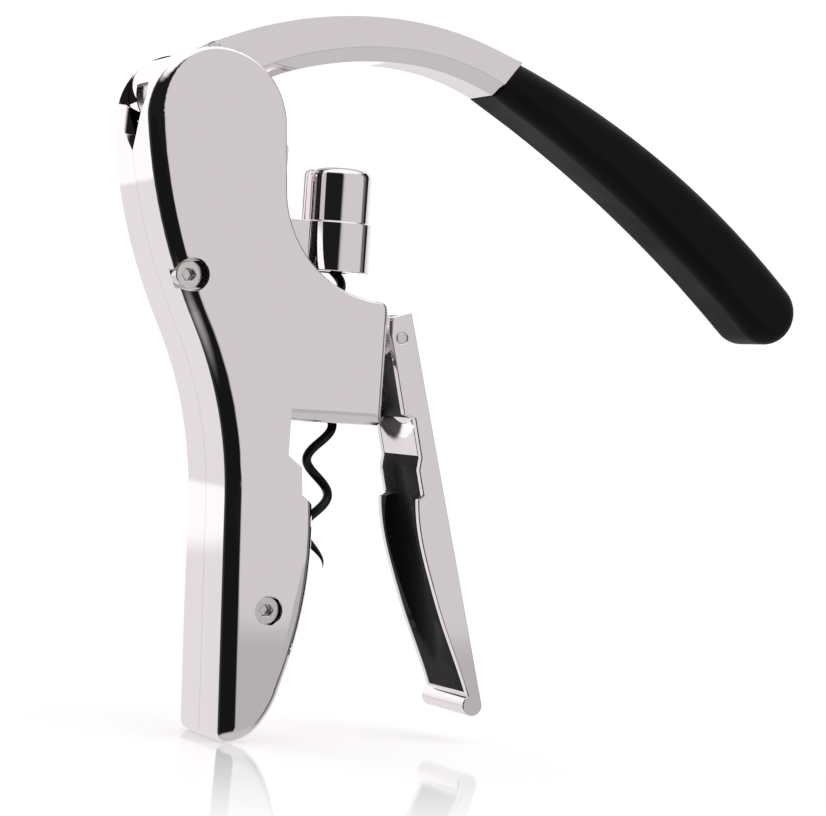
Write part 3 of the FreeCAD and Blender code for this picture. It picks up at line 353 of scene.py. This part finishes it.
class CORKSCREW_OT_body(bpy.types.Operator):
    """Finish the two chromed shells, their screws and the parts between them"""

    bl_idname = "corkscrew.body"
    bl_label = "Body"

    def execute(self, context):
        edge_round = sizes().edge_round
        for node in ("near_shell", "far_shell"):
            fine_copy(node, node + "_polished", parting=edge_round)
        for node in ("upper_screw", "lower_screw"):
            fine_copy(node, node + "_turned", edge_round)
        fine_copy("neck_pad", "neck_pad_moulded", edge_round * PAD_ROUND)
        for node in ("threaded_inserts", "lever_axle", "axle_washers", "mouth_ring",
                     "nut_housing", "nut_ring", "worm_nut", "guide_rails"):
            dress(node)
        return {"FINISHED"}


class CORKSCREW_OT_lever(bpy.types.Operator):
    """Finish the lever arm, its gear sector and rivets"""

    bl_idname = "corkscrew.lever"
    bl_label = "Lever"

    def execute(self, context):
        fine_copy("lever_arm", "lever_arm_polished", sizes().edge_round)
        for node in ("gear_sector", "sector_rivets"):
            dress(node)
        return {"FINISHED"}


class CORKSCREW_OT_grip(bpy.types.Operator):
    """Finish the soft grip over the lever's tang"""

    bl_idname = "corkscrew.grip"
    bl_label = "Grip"

    def execute(self, context):
        fine_copy("lever_grip", "lever_grip_soft", sizes().edge_round * GRIP_ROUND)
        return {"FINISHED"}


class CORKSCREW_OT_carrier(bpy.types.Operator):
    """Finish the carrier cup, its cap, the rack, its screws and the washers"""

    bl_idname = "corkscrew.carrier"
    bl_label = "Carrier"

    def execute(self, context):
        fine_copy("worm_carrier", "worm_carrier_polished", sizes().edge_round)
        fine_copy("carrier_cap", "carrier_cap_turned", sizes().edge_round)
        for node in ("rack", "rack_screws", "thrust_washers"):
            dress(node)
        return {"FINISHED"}


COIL_TURN = math.radians(9.0)  # turn of one step along the worm
COIL_SIDES = 24
COIL_TOP = 0.9                 # how far the first ring's middle lies below the top, in wire radii
TAPER_TURN = 0.45              # length of the tapered point, in turns of the worm
TIP_SHARE = 0.3                # share of its size that the last ring keeps


def coil_start(setting, reach, top):
    """Turns a ring at the origin to lie across the worm's wire at its top end."""
    angle = setting.worm_phase + math.tau * top / setting.worm_pitch
    ahead = Vector((math.sin(angle) * reach, -math.cos(angle) * reach,
                    -setting.worm_pitch / math.tau)).normalized()
    start = Vector((math.cos(angle) * reach, math.sin(angle) * reach, top))
    lean = Z_AXIS.rotation_difference(ahead).to_matrix().to_4x4()
    return Matrix.Translation(start) @ lean


class CORKSCREW_OT_worm(bpy.types.Operator):
    """Coil the worm with its tapered point and finish its collar"""

    bl_idname = "corkscrew.worm"
    bl_label = "Worm"

    def execute(self, context):
        setting = sizes()
        low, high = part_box("worm")
        wire = setting.worm_wire / 2
        reach = setting.worm_diameter / 2 - wire
        top = high.z - wire * COIL_TOP
        drop = setting.worm_pitch * COIL_TURN / math.tau
        steps = int((top - low.z) / drop)
        taper = int(setting.worm_pitch * TAPER_TURN / drop)
        bm = bmesh.new()
        ring = bmesh.ops.create_circle(bm, cap_ends=True, radius=wire, segments=COIL_SIDES)
        bmesh.ops.transform(bm, matrix=coil_start(setting, reach, top), verts=ring["verts"])
        rim = bm.edges[:]
        for left in range(steps, 0, -1):
            made = bmesh.ops.spin(bm, geom=rim, cent=ORIGIN, axis=Z_AXIS, dvec=(0, 0, -drop),
                                  angle=-COIL_TURN, steps=1, use_merge=False,
                                  use_duplicate=False)
            last = made["geom_last"]
            rim = [item for item in last if isinstance(item, bmesh.types.BMEdge)]
            if left < taper:
                spots = [item for item in last if isinstance(item, bmesh.types.BMVert)]
                middle = sum((spot.co for spot in spots), Vector()) / len(spots)
                shrink = max(left - 1, TIP_SHARE) / left
                bmesh.ops.scale(bm, vec=(shrink, shrink, shrink), verts=spots,
                                space=Matrix.Translation(-middle))
        bmesh.ops.contextual_create(bm, geom=rim)
        bmesh.ops.recalc_face_normals(bm, faces=bm.faces[:])
        place("worm_coated", mesh_from(bm, "worm_coated", COIL_CREASE), "worm")
        dress("worm_collar")
        return {"FINISHED"}


CLAMP_COPIES = {
    "clamp_lever": "clamp_lever_polished",
    "clamp_jaw": "clamp_jaw_polished",
    "clamp_pad": "clamp_pad_moulded",
    "clamp_lug": "clamp_lug_pressed",
    "clamp_pin": "clamp_pin_turned",
    "clamp_liner": "clamp_liner_painted_shade",
# The liner is a dark sheet on the inner face of the clamp's web: painted shade, standing in for
# the shadow between the cheeks.
}


class CORKSCREW_OT_clamp(bpy.types.Operator):
    """Finish the clamp lever, its jaw, pad, lug, pin and spring, and the liner, a dark sheet of
    painted shade inside its web
    """

    bl_idname = "corkscrew.clamp"
    bl_label = "Clamp"

    def execute(self, context):
        for node, name in CLAMP_COPIES.items():
            fine_copy(node, name, sizes().edge_round)
        dress("clamp_spring")
        return {"FINISHED"}


# ---------------------------------------------------------------- stage

# Brightness round the horizon: (degrees anticlockwise from -X seen from above, level).
SURROUND = [
    (0.0, 0.012), (86.0, 0.012), (93.0, 0.60), (100.0, 0.66), (162.0, 0.66), (168.0, 0.16),
    (178.0, 0.14), (186.0, 0.55), (210.0, 0.95), (240.0, 1.05), (270.0, 1.1), (290.0, 1.1),
    (296.5, 1.0), (300.0, 0.075), (318.0, 0.05), (330.0, 0.012), (360.0, 0.012)]
SURROUND_TINT = (1.0, 0.965, 0.975)

# Heights between which each layer of the surround comes in, as Z of the direction.
ROOF_RISE = (0.5, 0.75)
GROUND_FALL = (-0.075, -0.085)
DEPTH_FALL = (-0.4, -0.7)
ROOF_COLOUR = (1.15, 1.14, 1.15, 1.0)
GROUND_SHADE = (0.74, 0.74, 0.74, 1.0)
DEPTH_COLOUR = (0.58, 0.56, 0.565, 1.0)
SWEEP_STRENGTH = 1.05

FLOOR_DROP = 0.2 * MM
FLOOR_RADIUS = 0.6
FLOOR_SIDES = 64
FLOOR_GLOSS = 0.06
FLOOR_GLOW = 0.12
FLOOR_FADE = (0.24, 0.05)

LIGHT_WIDTH = 0.7
SOFT_LIGHTS = (
    ("high_soft_light", Vector((0.25, -0.35, 0.75)), 3.0),
    ("back_soft_light", Vector((-0.35, 0.55, 0.55)), 2.5),
)
LIGHT_AIM = Vector((0.02, 0.0, 0.02))

CAMERA_SPOT = Vector((-0.3014, -0.7035, 0.0053))
CAMERA_HEADING = math.radians(25.0)
CAMERA_ROLL = math.radians(3.8)
CAMERA_LENS = 125.8
CAMERA_SENSOR = 36.0
CAMERA_CLIP = 0.01


def soft_step(tree, value, ends):
    """A node that rises smoothly from 0 to 1 as the value goes from one end to the other."""
    step = tree.nodes.new("ShaderNodeMapRange")
    step.interpolation_type = "SMOOTHSTEP"
    step.inputs["From Min"].default_value = ends[0]
    step.inputs["From Max"].default_value = ends[1]
    tree.links.new(value, step.inputs["Value"])
    return step.outputs["Result"]


def layer(tree, share, under, colour, blend="MIX"):
    """A colour laid over another by its share."""
    mix = tree.nodes.new("ShaderNodeMix")
    mix.data_type = "RGBA"
    mix.blend_type = blend
    mix.inputs["B"].default_value = colour
    tree.links.new(share, mix.inputs["Factor"])
    tree.links.new(under, mix.inputs["A"])
    return mix.outputs["Result"]


def surround_ramp(tree, across, along):
    """The brightness round the horizon in the direction that the two shares give."""
    heading = tree.nodes.new("ShaderNodeMath")
    heading.operation = "ARCTAN2"
    tree.links.new(across, heading.inputs[0])
    tree.links.new(along, heading.inputs[1])
    share = tree.nodes.new("ShaderNodeMapRange")
    share.inputs["From Min"].default_value = -math.pi
    share.inputs["From Max"].default_value = math.pi
    tree.links.new(heading.outputs["Value"], share.inputs["Value"])
    ramp = tree.nodes.new("ShaderNodeValToRGB")
    tree.links.new(share.outputs["Result"], ramp.inputs["Fac"])
    stops = ramp.color_ramp.elements
    while len(stops) > 1:
        stops.remove(stops[0])
    for index, (angle, level) in enumerate(SURROUND):
        stop = stops[0] if index == 0 else stops.new(angle / 360.0)
        stop.position = angle / 360.0
        stop.color = (*(level * tint for tint in SURROUND_TINT), 1.0)
    return ramp.outputs["Color"]


def studio_world():
    """A studio round: light and dark panels in the reflections, a white sweep behind."""
    world = bpy.data.worlds.new("studio")
    bpy.context.scene.world = world
    world.use_nodes = True
    tree = world.node_tree
    tree.nodes.clear()
    direction = tree.nodes.new("ShaderNodeTexCoord")
    parts = tree.nodes.new("ShaderNodeSeparateXYZ")
    tree.links.new(direction.outputs["Generated"], parts.inputs["Vector"])
    height = parts.outputs["Z"]
    colour = surround_ramp(tree, parts.outputs["Y"], parts.outputs["X"])
    colour = layer(tree, soft_step(tree, height, ROOF_RISE), colour, ROOF_COLOUR)
    colour = layer(tree, soft_step(tree, height, GROUND_FALL), colour, GROUND_SHADE, "MULTIPLY")
    colour = layer(tree, soft_step(tree, height, DEPTH_FALL), colour, DEPTH_COLOUR)
    surround = tree.nodes.new("ShaderNodeBackground")
    tree.links.new(colour, surround.inputs["Color"])
    sweep = tree.nodes.new("ShaderNodeBackground")
    sweep.inputs["Color"].default_value = (1.0, 1.0, 1.0, 1.0)
    sweep.inputs["Strength"].default_value = SWEEP_STRENGTH
    path = tree.nodes.new("ShaderNodeLightPath")
    both = tree.nodes.new("ShaderNodeMixShader")
    tree.links.new(path.outputs["Is Camera Ray"], both.inputs["Fac"])
    tree.links.new(surround.outputs["Background"], both.inputs[1])
    tree.links.new(sweep.outputs["Background"], both.inputs[2])
    out = tree.nodes.new("ShaderNodeOutputWorld")
    tree.links.new(both.outputs["Shader"], out.inputs["Surface"])


def pale_floor(level):
    """A round pale floor with a faint gloss that fades out into the white sweep."""
    bm = bmesh.new()
    bmesh.ops.create_circle(bm, cap_ends=True, segments=FLOOR_SIDES, radius=FLOOR_RADIUS,
                            matrix=Matrix.Translation((0.0, 0.0, level)))
    floor = bpy.data.objects.new("floor", mesh_from(bm, "floor"))
    bpy.context.scene.collection.objects.link(floor)
    material = bpy.data.materials.new("pale_floor")
    material.use_nodes = True
    tree = material.node_tree
    shader = tree.nodes["Principled BSDF"]
    shader.inputs["Base Color"].default_value = (*colours().floor, 1.0)
    shader.inputs["Roughness"].default_value = FLOOR_GLOSS
    shader.inputs["Emission Color"].default_value = (1.0, 1.0, 1.0, 1.0)
    shader.inputs["Emission Strength"].default_value = FLOOR_GLOW
    spot = tree.nodes.new("ShaderNodeTexCoord")
    reach = tree.nodes.new("ShaderNodeVectorMath")
    reach.operation = "LENGTH"
    tree.links.new(spot.outputs["Object"], reach.inputs[0])
    fade = soft_step(tree, reach.outputs["Value"], FLOOR_FADE)
    tree.links.new(fade, shader.inputs["Alpha"])
    floor.data.materials.append(material)
    floor.visible_glossy = False


def soft_light(name, spot, energy):
    """A square soft light aimed at the middle of the corkscrew."""
    data = bpy.data.lights.new(name, "AREA")
    data.size = LIGHT_WIDTH
    data.energy = energy
    light = bpy.data.objects.new(name, data)
    light.location = spot
    light.rotation_euler = (LIGHT_AIM - spot).to_track_quat("-Z", "Y").to_euler()
    bpy.context.scene.collection.objects.link(light)
    light.visible_glossy = False


def studio_camera():
    """The camera, level with the bottle seat and turned to the left of the near side."""
    data = bpy.data.cameras.new("camera")
    data.sensor_width = CAMERA_SENSOR
    data.lens = CAMERA_LENS
    data.clip_start = CAMERA_CLIP
    camera = bpy.data.objects.new("camera", data)
    bpy.context.scene.collection.objects.link(camera)
    ahead = Vector((math.sin(CAMERA_HEADING), math.cos(CAMERA_HEADING), 0.0))
    level = ahead.to_track_quat("-Z", "Y").to_matrix()
    roll = Matrix.Rotation(CAMERA_ROLL, 3, "Z")
    camera.matrix_world = Matrix.Translation(CAMERA_SPOT) @ (level @ roll).to_4x4()
    bpy.context.scene.camera = camera


class CORKSCREW_OT_stage(bpy.types.Operator):
    """Lay the floor, hang the soft lights and set the camera"""

    bl_idname = "corkscrew.stage"
    bl_label = "Stage"

    def execute(self, context):
        low, high = CAD_BOX
        studio_world()
        pale_floor(low[2] - FLOOR_DROP)
        for name, spot, energy in SOFT_LIGHTS:
            soft_light(name, spot, energy)
        studio_camera()
        bpy.context.scene.view_settings.view_transform = "Standard"
        return {"FINISHED"}


class CORKSCREW_PT_panel(bpy.types.Panel):
    """Settings and steps of the corkscrew"""

    bl_label = "Corkscrew"
    bl_idname = "CORKSCREW_PT_panel"
    bl_space_type = "VIEW_3D"
    bl_region_type = "UI"
    bl_category = "Corkscrew"

    def draw(self, context):
        column = self.layout.column(align=True)
        for settings in (context.scene.corkscrew_sizes, context.scene.corkscrew_colours):
            for name in settings.bl_rna.properties.keys():
                if name not in ("rna_type", "name"):
                    column.prop(settings, name)
        for step in STEPS:
            column.operator(step.bl_idname)


STEPS = (CORKSCREW_OT_body, CORKSCREW_OT_lever, CORKSCREW_OT_grip, CORKSCREW_OT_carrier,
         CORKSCREW_OT_worm, CORKSCREW_OT_clamp, CORKSCREW_OT_stage)
CLASSES = (CorkscrewSizes, CorkscrewColours) + STEPS + (CORKSCREW_PT_panel,)


def register():
    """Adds the classes and the scene's settings."""
    for item in CLASSES:
        bpy.utils.register_class(item)
    bpy.types.Scene.corkscrew_sizes = bpy.props.PointerProperty(type=CorkscrewSizes)
    bpy.types.Scene.corkscrew_colours = bpy.props.PointerProperty(type=CorkscrewColours)


def unregister():
    """Takes them away again."""
    del bpy.types.Scene.corkscrew_colours
    del bpy.types.Scene.corkscrew_sizes
    for item in reversed(CLASSES):
        bpy.utils.unregister_class(item)


def main():
    """Makes every piece and the stage."""
    register()
    bpy.ops.corkscrew.body()
    bpy.ops.corkscrew.lever()
    bpy.ops.corkscrew.grip()
    bpy.ops.corkscrew.carrier()
    bpy.ops.corkscrew.worm()
    bpy.ops.corkscrew.clamp()
    bpy.ops.corkscrew.stage()


if __name__ == "__main__":
    main()
